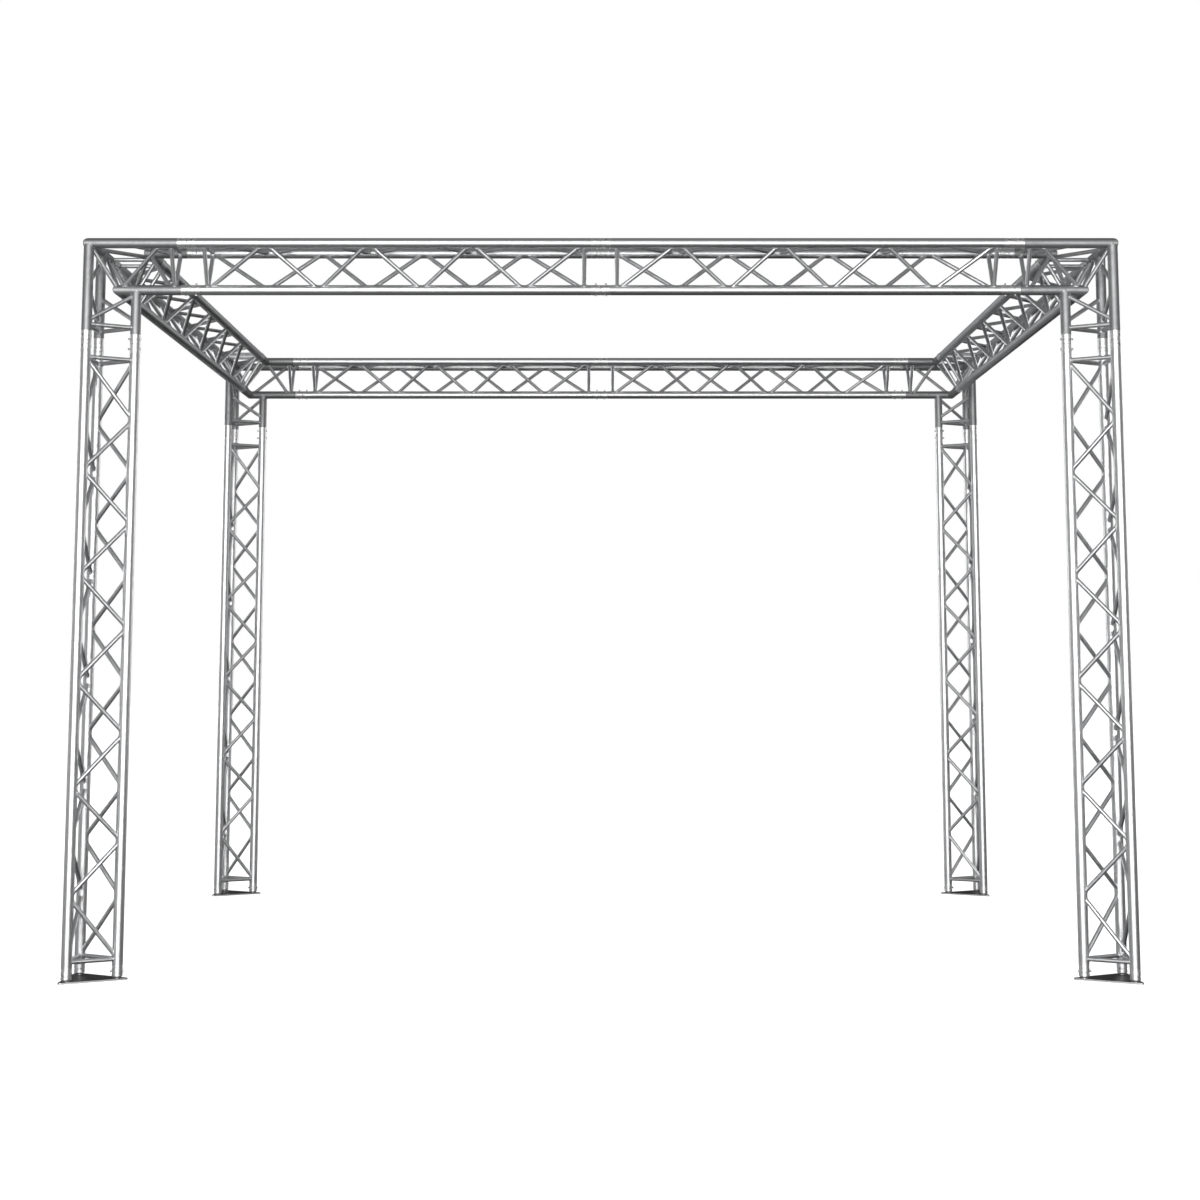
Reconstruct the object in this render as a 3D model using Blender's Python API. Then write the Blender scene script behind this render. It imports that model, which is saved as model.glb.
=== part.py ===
"""Lighting truss booth: a rectangular ring of triangular aluminium truss on four
truss legs. Every section is joined to the next by conical couplers and taper pins.
The booth stands on z = 0 with its centre on the origin and its front towards -Y."""

import math

import bmesh
import bpy
from mathutils import Matrix, Vector

# Truss section, metres
CHORD_SPACING = 0.24
CHORD_RADIUS = 0.025
BORE_RADIUS = 0.0215
CHORD_SIDES = 12
BORE_SIDES = 8
BRACE_WIDTH = 0.0185
BRACE_INSET = 0.015
STATION_PITCH = 0.25
FIRST_STATION = 0.125
END_MEMBER = 0.08
JOINT_GAP = 0.0005

# Booth
WIDTH = 5.0
DEPTH = 4.0
CORNER_ARM = 0.475
BEAM_LENGTH = 2.0
LONG_LENGTH = 3.0
FOOT_GAP = 0.007
PLATE_THICKNESS = 0.008
PLATE_MARGIN = 0.031
PLATE_CORNER_RADIUS = 0.014

# Couplers and pins
FIT_GAP = 0.0003
PIN_HOLE_REACH = 0.005
BORE_OVERRUN = 0.01
COUPLER_HALF = 0.045
COUPLER_END_RADIUS = 0.0165
FOOT_NECK_RADIUS = 0.018
PIN_FROM_JOINT = 0.0245
PIN_RADIUS = 0.0057
PIN_TAPER = 1 / 62
PIN_OUTER = 0.0285
PIN_INNER = 0.0335
PIN_SIDES = 8

# Corner braces, each from (distance along the arm, chord) to (distance along the arm, chord)
ARM_BRACES = (
    ((0.13, "lower"), (0.35, "outer")),
    ((0.24, "inner"), (0.38, "lower")),
    ((0.14, "outer"), (0.36, "inner")),
)
UPRIGHT_BRACES = (
    ((0.38, "outer"), (0.23, "inner")),
    ((0.225, "rear"), (0.365, "inner")),
    ((0.05, "rear"), (0.205, "outer")),
    ((0.205, "outer"), (0.35, "rear")),
)

TRIANGLE_HEIGHT = CHORD_SPACING * math.sqrt(3) / 2
TRIANGLE_RADIUS = CHORD_SPACING / math.sqrt(3)
TOP_AXIS = PLATE_THICKNESS + FOOT_GAP + LONG_LENGTH + CORNER_ARM
HALF_X = WIDTH / 2 - CHORD_RADIUS
HALF_Y = DEPTH / 2 - CHORD_RADIUS

MATERIALS = {
    "corner": ("corner_aluminium", (0.50, 0.51, 0.52), 0.34, 0.9),
    "beam": ("beam_aluminium", (0.56, 0.57, 0.58), 0.30, 0.9),
    "leg": ("leg_aluminium", (0.55, 0.56, 0.57), 0.30, 0.9),
    "base_plate": ("base_plate_aluminium", (0.46, 0.47, 0.48), 0.40, 0.9),
    "coupler": ("coupler_aluminium", (0.60, 0.61, 0.62), 0.28, 0.9),
    "pin": ("pin_steel", (0.62, 0.62, 0.61), 0.22, 1.0),
}


def clear_scene():
    for obj in list(bpy.data.objects):
        bpy.data.objects.remove(obj, do_unlink=True)


def new_collection(name):
    collection = bpy.data.collections.new(name)
    bpy.context.scene.collection.children.link(collection)
    return collection


def principled(name, colour, roughness, metallic):
    material = bpy.data.materials.new(name)
    material.use_nodes = True
    shader = material.node_tree.nodes["Principled BSDF"]
    shader.inputs["Base Color"].default_value = (*colour, 1.0)
    shader.inputs["Roughness"].default_value = roughness
    shader.inputs["Metallic"].default_value = metallic
    material.diffuse_color = (*colour, 1.0)
    return material


def axes_matrix(origin, facing, along):
    """A frame at origin with Z along the piece and X towards facing."""
    along = Vector(along).normalized()
    side = along.cross(Vector(facing)).normalized()
    turn = Matrix((side.cross(along), side, along)).transposed()
    return Matrix.Translation(origin) @ turn.to_4x4()


def add_bar(bm, start, end, facing, half_width, sides):
    """A prism from start to end with one of its flats turned to facing."""
    middle = (Vector(start) + Vector(end)) / 2
    length = (Vector(end) - Vector(start)).length
    half_turn = Matrix.Rotation(math.pi / sides, 4, "Z")
    made = bmesh.ops.create_cone(
        bm,
        cap_ends=True,
        segments=sides,
        radius1=half_width / math.cos(math.pi / sides),
        radius2=half_width / math.cos(math.pi / sides),
        depth=length,
        matrix=axes_matrix(middle, facing, Vector(end) - Vector(start)) @ half_turn,
    )
    return made["verts"]


def add_brace(bm, start, end, facing):
    """A brace between two chord axes, stopping inside both chords' bores."""
    along = (Vector(end) - Vector(start)).normalized() * BRACE_INSET
    add_bar(bm, Vector(start) + along, Vector(end) - along, facing, BRACE_WIDTH / 2, 4)


def add_turned(bm, profile, sides, matrix):
    """Spin (radius, height) points about Z into a closed solid."""
    start = len(bm.verts)
    flat = math.cos(math.pi / sides)
    bm.verts.ensure_lookup_table()
    ring = [bm.verts.new((radius / flat, 0, height)) for radius, height in profile]
    edges = [bm.edges.new(pair) for pair in zip(ring, ring[1:])]
    bmesh.ops.spin(
        bm,
        geom=ring + edges,
        axis=(0, 0, 1),
        cent=(0, 0, 0),
        angle=2 * math.pi,
        steps=sides,
        use_merge=True,
    )
    bm.verts.ensure_lookup_table()
    turned = bm.verts[start:]
    rims = [edge for edge in bm.edges if edge.is_boundary]
    bmesh.ops.holes_fill(bm, edges=rims, sides=sides)
    half_turn = Matrix.Rotation(math.pi / sides, 4, "Z")
    bmesh.ops.transform(bm, matrix=matrix @ half_turn, verts=turned)


def add_elbow(bm, arm_end, mitre, facing, half_width, sides):
    """A chord along X that turns into its mirror image along Y at a 45 degree mitre."""
    start = len(bm.verts)
    verts = add_bar(bm, mitre, arm_end, facing, half_width, sides)
    middle = (Vector(arm_end).x + Vector(mitre).x) / 2
    corner = [vert for vert in verts if vert.co.x < middle]
    cap = [face for face in corner[0].link_faces if all(vert in corner for vert in face.verts)]
    bmesh.ops.delete(bm, geom=cap, context="FACES_ONLY")
    for vert in corner:
        vert.co.x = vert.co.y + mitre[0] - mitre[1]
    half = list({face for vert in verts for face in vert.link_faces})
    copied = bmesh.ops.duplicate(bm, geom=verts + half)["geom"]
    for vert in (item for item in copied if isinstance(item, bmesh.types.BMVert)):
        vert.co.x, vert.co.y = vert.co.y, vert.co.x
    bm.verts.ensure_lookup_table()
    bmesh.ops.remove_doubles(bm, verts=bm.verts[start:], dist=0.00001)


def solid_object(name, bm, collection):
    """Turn a bmesh into an object with its faces pointing out."""
    bmesh.ops.recalc_face_normals(bm, faces=bm.faces)
    mesh = bpy.data.meshes.new(name)
    bm.to_mesh(mesh)
    bm.free()
    obj = bpy.data.objects.new(name, mesh)
    collection.objects.link(obj)
    return obj


def carve(name, body, joined, cutters):
    """Join the solids to body, take the cutters away and return the mesh."""
    for operation, operands in (("UNION", joined), ("DIFFERENCE", cutters)):
        for operand in operands:
            boolean = body.modifiers.new(operation.lower(), "BOOLEAN")
            boolean.operation = operation
            boolean.solver = "EXACT"
            boolean.object = operand
    shaped = body.evaluated_get(bpy.context.evaluated_depsgraph_get())
    mesh = bpy.data.meshes.new_from_object(shaped)
    mesh.name = name
    for obj in (body, *joined, *cutters):
        bpy.data.objects.remove(obj, do_unlink=True)
    return mesh


def finish(mesh):
    mesh.shade_smooth()
    mesh.set_sharp_from_angle(angle=math.radians(40))


def place(name, mesh, matrix, family):
    """Put a finished mesh in the booth as its own part."""
    obj = bpy.data.objects.new(name, mesh)
    parts.objects.link(obj)
    obj.matrix_world = matrix
    obj.parent = booth
    if not mesh.materials:
        mesh.materials.append(materials[family])
    return obj


def chord_axes():
    """The three chords about the section's centre, clockwise about +Z."""
    turns = (0, -2 * math.pi / 3, 2 * math.pi / 3)
    return [Vector((math.cos(turn), math.sin(turn), 0)) * TRIANGLE_RADIUS for turn in turns]


def pin_profile(clearance, reach):
    outer, inner = PIN_OUTER + reach, -PIN_INNER - reach
    return [
        (PIN_RADIUS + clearance + PIN_TAPER * inner, inner),
        (PIN_RADIUS + clearance + PIN_TAPER * outer, outer),
    ]


def add_pin_holes(bm, centre, radial):
    profile = pin_profile(FIT_GAP, PIN_HOLE_REACH)
    add_turned(bm, profile, PIN_SIDES, axes_matrix(centre, (0, 0, 1), radial))


def brace_stations(length):
    """Where the zigzag meets the chords: at both end members and at an even pitch between."""
    spans = round((length - 2 * FIRST_STATION) / STATION_PITCH)
    between = [FIRST_STATION + STATION_PITCH * index for index in range(1, spans)]
    return [END_MEMBER, *between, length - END_MEMBER]


def straight_truss(name, length, bored_end=False):
    """A straight section along +Z from 0 to length, with zigzag braces in all three faces."""
    chords, braces, bores = bmesh.new(), bmesh.new(), bmesh.new()
    axes = chord_axes()
    low, high = Vector((0, 0, JOINT_GAP / 2)), Vector((0, 0, length - JOINT_GAP / 2))
    for axis in axes:
        add_bar(chords, axis + low, axis + high, axis, CHORD_RADIUS, CHORD_SIDES)
        past = Vector((0, 0, BORE_OVERRUN))
        add_bar(bores, axis + low - past, axis + high + past, axis, BORE_RADIUS, BORE_SIDES)
    stations = brace_stations(length)
    for index, first in enumerate(axes):
        second = axes[(index + 1) % 3]
        outward = first + second
        for height in (END_MEMBER, length - END_MEMBER):
            level = Vector((0, 0, height))
            add_brace(braces, first + level, second + level, outward)
        for station, (low_end, high_end) in enumerate(zip(stations, stations[1:])):
            pair = (first, second) if station % 2 == 0 else (second, first)
            start, end = Vector((0, 0, low_end)), Vector((0, 0, high_end))
            add_brace(braces, pair[0] + start, pair[1] + end, outward)
    cutters = [solid_object("bores", bores, tools)]
    if bored_end:
        holes = bmesh.new()
        for axis in axes:
            add_pin_holes(holes, axis + Vector((0, 0, length - PIN_FROM_JOINT)), axis)
        cutters.append(solid_object("pin_holes", holes, tools))
    body = solid_object("chords", chords, tools)
    mesh = carve(name, body, [solid_object("braces", braces, tools)], cutters)
    finish(mesh)
    return mesh


def corner_mesh():
    """The front left corner, with the outer top chords' mitre on its origin."""
    step, drop = CHORD_SPACING, -TRIANGLE_HEIGHT
    arm = CORNER_ARM - JOINT_GAP / 2
    up_out = Vector((0, -math.sqrt(3) / 2, 0.5))
    up_in = Vector((0, math.sqrt(3) / 2, 0.5))
    down = Vector((0, 0, -1))
    elbows = (
        (Vector((0, 0, 0)), up_out),
        (Vector((step, step, 0)), up_in),
        (Vector((step / 2, step / 2, drop)), down),
    )
    leg_centre = Vector((TRIANGLE_HEIGHT / 3, step / 2, 0))
    uprights = (
        Vector((0, 0, 0)),
        Vector((TRIANGLE_HEIGHT, step / 2, drop)),
        Vector((0, step, 0)),
    )
    outer, inner = bmesh.new(), bmesh.new()
    for mitre, facing in elbows:
        end = Vector((arm, mitre.y, mitre.z))
        past = Vector((BORE_OVERRUN, 0, 0))
        add_elbow(outer, end, mitre, facing, CHORD_RADIUS, CHORD_SIDES)
        add_elbow(inner, end + past, mitre, facing, BORE_RADIUS, BORE_SIDES)
    posts, post_bores = bmesh.new(), bmesh.new()
    for top in uprights:
        foot = Vector((top.x, top.y, -arm))
        facing = Vector((top.x, top.y, 0)) - leg_centre
        add_bar(posts, top, foot, facing, CHORD_RADIUS, CHORD_SIDES)
        below = foot - Vector((0, 0, BORE_OVERRUN))
        add_bar(post_bores, top, below, facing, BORE_RADIUS, BORE_SIDES)
    body = solid_object("elbows", outer, tools)
    joined = [solid_object("posts", posts, tools)]
    joined += corner_braces()
    cutters = [solid_object("elbow_bores", inner, tools)]
    cutters.append(solid_object("post_bores", post_bores, tools))
    mesh = carve("corner", body, joined, cutters)
    finish(mesh)
    return mesh


def corner_braces():
    """Braces of the corner, in its own coordinates: X arm, Y arm and the arm down."""
    step, half, drop = CHORD_SPACING, CHORD_SPACING / 2, -TRIANGLE_HEIGHT
    end = CORNER_ARM - END_MEMBER
    arm_chords = {"outer": (0, 0), "inner": (step, 0), "lower": (half, drop)}
    leg_chords = {"outer": (0, 0), "inner": (TRIANGLE_HEIGHT, half), "rear": (0, step)}
    along_x, upright = [], []
    for pair in (("outer", "inner"), ("inner", "lower"), ("lower", "outer")):
        along_x.append([Vector((end, *arm_chords[chord])) for chord in pair])
    for ends in ARM_BRACES:
        along_x.append([Vector((along, *arm_chords[chord])) for along, chord in ends])
    for pair in (("outer", "inner"), ("inner", "rear"), ("rear", "outer")):
        upright.append([Vector((*leg_chords[chord], -end)) for chord in pair])
    for ends in UPRIGHT_BRACES:
        upright.append([Vector((*leg_chords[chord], -along)) for along, chord in ends])
    along_y = [[Vector((point.y, point.x, point.z)) for point in ends] for ends in along_x]
    hip = [[Vector((0, 0, 0)), Vector((half, half, drop))]]
    arms = {
        "x_arm_braces": (along_x, Vector((1, 0, 0))),
        "y_arm_braces": (along_y, Vector((0, 1, 0))),
        "upright_braces": (upright, Vector((0, 0, 1))),
        "hip_brace": (hip, Vector((1, -1, 0))),
    }
    solids = []
    for name, (braces, chord_direction) in arms.items():
        bm = bmesh.new()
        for start, end_point in braces:
            add_brace(bm, start, end_point, chord_direction.cross(end_point - start))
        solids.append(solid_object(name, bm, tools))
    return solids


def mirrored_mesh(mesh, name, scale_x, scale_y):
    """A mirrored copy of a mesh, with its faces still pointing out."""
    copy = mesh.copy()
    copy.name = name
    copy.transform(Matrix.Diagonal((scale_x, scale_y, 1, 1)))
    if scale_x * scale_y < 0:
        copy.flip_normals()
    return copy


def coupler_mesh(name, bored):
    """A double cone on Z, with both pin holes along X when bored."""
    half = [(COUPLER_END_RADIUS, -COUPLER_HALF), (BORE_RADIUS - FIT_GAP, 0)]
    cone = bmesh.new()
    add_turned(cone, [*half, (COUPLER_END_RADIUS, COUPLER_HALF)], BORE_SIDES, Matrix())
    body = solid_object("cone", cone, tools)
    cutters = []
    if bored:
        holes = bmesh.new()
        for height in (-PIN_FROM_JOINT, PIN_FROM_JOINT):
            add_pin_holes(holes, Vector((0, 0, height)), Vector((1, 0, 0)))
        cutters.append(solid_object("coupler_holes", holes, tools))
    mesh = carve(name, body, [], cutters)
    finish(mesh)
    return mesh


def pin_mesh():
    """A taper pin along Z, thick end up, with its origin on the chord's axis."""
    bm = bmesh.new()
    add_turned(bm, pin_profile(0, 0), PIN_SIDES, Matrix())
    body = solid_object("taper", bm, tools)
    mesh = carve("pin", body, [], [])
    finish(mesh)
    return mesh


def base_plate_mesh():
    """A rounded triangle with a half coupler under each chord; X points at one chord."""
    plate = bmesh.new()
    corner = TRIANGLE_RADIUS + 2 * PLATE_MARGIN
    bmesh.ops.create_cone(
        plate,
        cap_ends=True,
        segments=3,
        radius1=corner,
        radius2=corner,
        depth=PLATE_THICKNESS,
        matrix=Matrix.Translation((0, 0, PLATE_THICKNESS / 2)) @ Matrix.Rotation(-math.pi / 2, 4, "Z"),
    )
    uprights = [edge for edge in plate.edges if abs(edge.verts[0].co.z - edge.verts[1].co.z) > 0.001]
    bmesh.ops.bevel(
        plate,
        geom=uprights,
        offset=PLATE_CORNER_RADIUS * math.sqrt(3),
        segments=4,
        profile=0.5,
        affect="EDGES",
    )
    cones = bmesh.new()
    socket = PLATE_THICKNESS + FOOT_GAP
    profile = [
        (FOOT_NECK_RADIUS, PLATE_THICKNESS / 2),
        (FOOT_NECK_RADIUS, PLATE_THICKNESS),
        (BORE_RADIUS - FIT_GAP, socket),
        (COUPLER_END_RADIUS, socket + COUPLER_HALF),
    ]
    for axis in chord_axes():
        add_turned(cones, profile, BORE_SIDES, axes_matrix(axis, axis, (0, 0, 1)))
    body = solid_object("plate", plate, tools)
    mesh = carve("base_plate", body, [solid_object("half_couplers", cones, tools)], [])
    finish(mesh)
    return mesh


def section_matrix(start, along, centre_to_chord):
    return axes_matrix(start, centre_to_chord, along)


clear_scene()
parts = new_collection("lighting_truss_booth")
tools = new_collection("cutters")
materials = {family: principled(*settings) for family, settings in MATERIALS.items()}
booth = bpy.data.objects.new("booth", None)
parts.objects.link(booth)

sides = (("left", -1), ("right", 1))
fronts = (("front", -1), ("back", 1))
beam_centre_in = CHORD_SPACING / 2
beam_centre_z = TOP_AXIS - TRIANGLE_HEIGHT / 3
leg_centre_in = TRIANGLE_HEIGHT / 3
slope = math.sqrt(3) / 2


def chords_facing(outwards):
    """Directions from a beam's centre to its chords, outwards being the booth's outside."""
    outwards = Vector(outwards) * slope
    up = Vector((0, 0, 0.5))
    return {"outer": up + outwards, "inner": up - outwards, "lower": Vector((0, 0, -1))}


beam_chords = {
    "front": chords_facing((0, -1, 0)),
    "back": chords_facing((0, 1, 0)),
    "left": chords_facing((-1, 0, 0)),
    "right": chords_facing((1, 0, 0)),
}

# Corners: four mirrored copies of one mesh
corner = corner_mesh()
for front, sign_y in fronts:
    for side, sign_x in sides:
        name = f"corner_{front}_{side}"
        mesh = mirrored_mesh(corner, name, -sign_x, -sign_y)
        move = Matrix.Translation((sign_x * HALF_X, sign_y * HALF_Y, TOP_AXIS))
        place(name, mesh, move, "corner")

# Straight sections
short = straight_truss("beam_2m", BEAM_LENGTH)
short_bored = straight_truss("beam_2m_bored", BEAM_LENGTH, bored_end=True)
long_beam = straight_truss("beam_3m", LONG_LENGTH)
long_leg = long_beam.copy()
for front, sign_y in fronts:
    for side, sign_x in sides:
        start = (sign_x * BEAM_LENGTH, sign_y * (HALF_Y - beam_centre_in), beam_centre_z)
        frame = section_matrix(start, (-sign_x, 0, 0), beam_chords[front]["outer"])
        mesh = short_bored if front == "front" else short
        place(f"beam_{front}_{side}", mesh, frame, "beam")
        leg_x, leg_y = sign_x * (HALF_X - leg_centre_in), sign_y * (HALF_Y - beam_centre_in)
        top = (leg_x, leg_y, TOP_AXIS - CORNER_ARM)
        frame = section_matrix(top, (0, 0, -1), (-sign_x, 0, 0))
        place(f"leg_{front}_{side}", long_leg, frame, "leg")
for side, sign_x in sides:
    start = (sign_x * (HALF_X - beam_centre_in), -LONG_LENGTH / 2, beam_centre_z)
    frame = section_matrix(start, (0, 1, 0), beam_chords[side]["outer"])
    place(f"beam_{side}", long_beam, frame, "beam")

# Base plates
base_plate = base_plate_mesh()
for front, sign_y in fronts:
    for side, sign_x in sides:
        foot = (sign_x * (HALF_X - leg_centre_in), sign_y * (HALF_Y - beam_centre_in), 0)
        frame = section_matrix(foot, (0, 0, 1), (-sign_x, 0, 0))
        place(f"base_plate_{front}_{side}", base_plate, frame, "base_plate")

# Couplers: one for each chord of a joint
plain_coupler = coupler_mesh("coupler", bored=False)
bored_coupler = coupler_mesh("coupler_bored", bored=True)
for front, sign_y in fronts:
    centre_y = sign_y * (HALF_Y - beam_centre_in)
    for spot, joint_x in (("left", -BEAM_LENGTH), ("center", 0), ("right", BEAM_LENGTH)):
        for chord, radial in beam_chords[front].items():
            axis = Vector((joint_x, centre_y, beam_centre_z)) + Vector(radial) * TRIANGLE_RADIUS
            mesh = bored_coupler if (front, spot) == ("front", "center") else plain_coupler
            frame = axes_matrix(axis, radial, (1, 0, 0))
            place(f"coupler_{front}_{spot}_{chord}", mesh, frame, "coupler")
for side, sign_x in sides:
    centre_x = sign_x * (HALF_X - beam_centre_in)
    for chord, radial in beam_chords[side].items():
        axis = Vector((centre_x, -LONG_LENGTH / 2, beam_centre_z)) + Vector(radial) * TRIANGLE_RADIUS
        place(f"coupler_{side}_{chord}", plain_coupler, axes_matrix(axis, radial, (0, 1, 0)), "coupler")
for front, sign_y in fronts:
    for side, sign_x in sides:
        centre = Vector((sign_x * (HALF_X - leg_centre_in), sign_y * (HALF_Y - beam_centre_in), 0))
        centre.z = TOP_AXIS - CORNER_ARM
        leg_chords = {
            "outer": (sign_x * 0.5, sign_y * math.sqrt(3) / 2, 0),
            "inner": (-sign_x, 0, 0),
            "rear": (sign_x * 0.5, -sign_y * math.sqrt(3) / 2, 0),
        }
        for chord, radial in leg_chords.items():
            axis = centre + Vector(radial) * TRIANGLE_RADIUS
            frame = axes_matrix(axis, radial, (0, 0, -1))
            place(f"coupler_leg_{front}_{side}_{chord}", plain_coupler, frame, "coupler")

# Taper pins of the front centre joint, which draw out away from the section's centre
pin = pin_mesh()
for chord, radial in beam_chords["front"].items():
    for side, sign_x in sides:
        joint = Vector((sign_x * PIN_FROM_JOINT, -(HALF_Y - beam_centre_in), beam_centre_z))
        axis = joint + Vector(radial) * TRIANGLE_RADIUS
        place(f"pin_{chord}_{side}", pin, axes_matrix(axis, (1, 0, 0), radial), "pin")
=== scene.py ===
import math

import bmesh
import bpy
from mathutils import Matrix, Vector


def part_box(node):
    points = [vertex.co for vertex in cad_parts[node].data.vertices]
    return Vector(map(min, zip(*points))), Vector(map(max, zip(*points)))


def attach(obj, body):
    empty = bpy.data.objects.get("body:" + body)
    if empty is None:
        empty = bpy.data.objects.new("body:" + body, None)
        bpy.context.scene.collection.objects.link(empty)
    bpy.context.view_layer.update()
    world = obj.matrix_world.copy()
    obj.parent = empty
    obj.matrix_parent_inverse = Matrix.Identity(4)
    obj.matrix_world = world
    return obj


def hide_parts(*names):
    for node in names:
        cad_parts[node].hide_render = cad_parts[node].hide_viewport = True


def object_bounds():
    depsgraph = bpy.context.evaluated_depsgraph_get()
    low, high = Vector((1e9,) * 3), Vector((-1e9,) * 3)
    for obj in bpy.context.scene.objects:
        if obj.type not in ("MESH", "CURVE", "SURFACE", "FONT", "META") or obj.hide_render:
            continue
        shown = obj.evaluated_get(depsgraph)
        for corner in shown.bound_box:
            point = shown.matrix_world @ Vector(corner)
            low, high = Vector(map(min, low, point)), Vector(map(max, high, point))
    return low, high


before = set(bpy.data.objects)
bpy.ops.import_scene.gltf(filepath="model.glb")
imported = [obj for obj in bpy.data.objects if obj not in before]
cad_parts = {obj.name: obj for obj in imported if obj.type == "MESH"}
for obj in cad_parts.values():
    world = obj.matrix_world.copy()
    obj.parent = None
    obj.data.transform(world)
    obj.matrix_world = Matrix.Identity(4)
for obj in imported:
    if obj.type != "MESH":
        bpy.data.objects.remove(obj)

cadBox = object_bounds()
print("frame loaded:", len(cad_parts), "nodes")

# the section that every straight piece and every corner shares, metres
section = {
    "chordRadius": 0.025,
    "chordBore": 0.022,
    "chordSides": 36,
    "spacing": 0.24,
    "braceRadius": 0.0104,
    "braceSides": 14,
    "beadRadius": 0.0026,
    "beadLift": 0.0006,
    "beadSink": 0.0015,
    "beadSteps": 12,
    "beadSides": 4,
    "heatedLength": 0.03,
    "heatReach": 0.027,
    "endMember": 0.08,
    "firstStation": 0.125,
    "stationPitch": 0.25,
    "jointGap": 0.0005,
    "pinFromJoint": 0.0245,
}
triangleHeight = section["spacing"] * math.sqrt(3) / 2
triangleRadius = section["spacing"] / math.sqrt(3)
gapHalf = section["jointGap"] / 2
mergeDistance = 0.00001
endTolerance = 0.0001
sides = {"left": -1, "right": 1}
fronts = {"front": -1, "back": 1}


def deselectAll():
    if bpy.context.mode != "OBJECT":
        bpy.ops.object.mode_set(mode="OBJECT")
    bpy.ops.object.select_all(action="DESELECT")


def makeActive(piece):
    deselectAll()
    piece.select_set(True)
    bpy.context.view_layer.objects.active = piece


def startEdit(piece):
    makeActive(piece)
    bpy.ops.object.mode_set(mode="EDIT")


def endEdit():
    bpy.ops.object.mode_set(mode="OBJECT")


def selectEdges(piece, test):
    # picks edges by their two ends, in the piece's own coordinates
    bpy.ops.mesh.select_mode(type="EDGE")
    bpy.ops.mesh.select_all(action="DESELECT")
    mesh = bmesh.from_edit_mesh(piece.data)
    for edge in mesh.edges:
        edge.select_set(test(edge.verts[0].co, edge.verts[1].co))
    bmesh.update_edit_mesh(piece.data)


def setHeights(piece, heightOf):
    # in edit mode, moves every point to the height that heightOf gives for it
    mesh = bmesh.from_edit_mesh(piece.data)
    for vertex in mesh.verts:
        vertex.co.z = heightOf(vertex.co)
    bmesh.update_edit_mesh(piece.data)


def cutLoop(middle, normal, clearInner=False):
    bpy.ops.mesh.select_all(action="SELECT")
    bpy.ops.mesh.bisect(plane_co=middle, plane_no=normal, clear_inner=clearInner)


def makeNormalsOut(piece, merge=False):
    startEdit(piece)
    bpy.ops.mesh.select_all(action="SELECT")
    if merge:
        bpy.ops.mesh.remove_doubles(threshold=mergeDistance)
    bpy.ops.mesh.normals_make_consistent(inside=False)
    endEdit()


def smoothRound(piece, degrees=32):
    makeActive(piece)
    bpy.ops.object.shade_smooth_by_angle(angle=math.radians(degrees))


def discard(*models):
    for model in models:
        bpy.data.objects.remove(model, do_unlink=True)


def cutAway(piece, cutters):
    for cutter in cutters:
        boolean = piece.modifiers.new("cut", "BOOLEAN")
        boolean.operation = "DIFFERENCE"
        boolean.solver = "EXACT"
        boolean.object = cutter
        makeActive(piece)
        bpy.ops.object.modifier_apply(modifier=boolean.name)
        discard(cutter)


def copyPiece(model, matrix, name="copy"):
    # a copy with a mesh of its own, moved in the mesh and not by the object
    piece = model.copy()
    piece.data = model.data.copy()
    piece.name = name
    bpy.context.collection.objects.link(piece)
    piece.data.transform(matrix)
    return piece


def joinPieces(name, pieces):
    deselectAll()
    for piece in pieces:
        piece.select_set(True)
    bpy.context.view_layer.objects.active = pieces[0]
    bpy.ops.object.join()
    joined = bpy.context.object
    joined.name = name
    joined.data.name = name
    return joined


def axesMatrix(origin, facing, along):
    # Z along the piece, X towards facing
    along = Vector(along).normalized()
    side = along.cross(Vector(facing)).normalized()
    turn = Matrix((side.cross(along), side, along)).transposed()
    return Matrix.Translation(origin) @ turn.to_4x4()


def rememberGrain(piece, heatEnds=()):
    # the piece's own coordinates, kept so that the drawn lines follow it when it is placed,
    # and whether the heat of a weld at one of the given heights has coloured each point
    mesh = piece.data
    grain = mesh.attributes.new("grain", "FLOAT_VECTOR", "POINT")
    heat = mesh.attributes.new("heat", "FLOAT", "POINT")
    for index, vertex in enumerate(mesh.vertices):
        grain.data[index].vector = vertex.co
        heated = any(abs(vertex.co.z - end) < section["heatReach"] for end in heatEnds)
        heat.data[index].value = float(heated)


def withSupport(rings, gap=0.0006):
    # a loop close to each end of every long wall, so that its shading stays straight
    supported = [rings[0]]
    for (radius, height), (nextRadius, nextHeight) in zip(rings, rings[1:]):
        run = nextHeight - height
        if abs(run) > 4 * gap:
            for share in (gap / abs(run), 1 - gap / abs(run)):
                supported.append((radius + (nextRadius - radius) * share, height + run * share))
        supported.append((nextRadius, nextHeight))
    return supported


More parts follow.
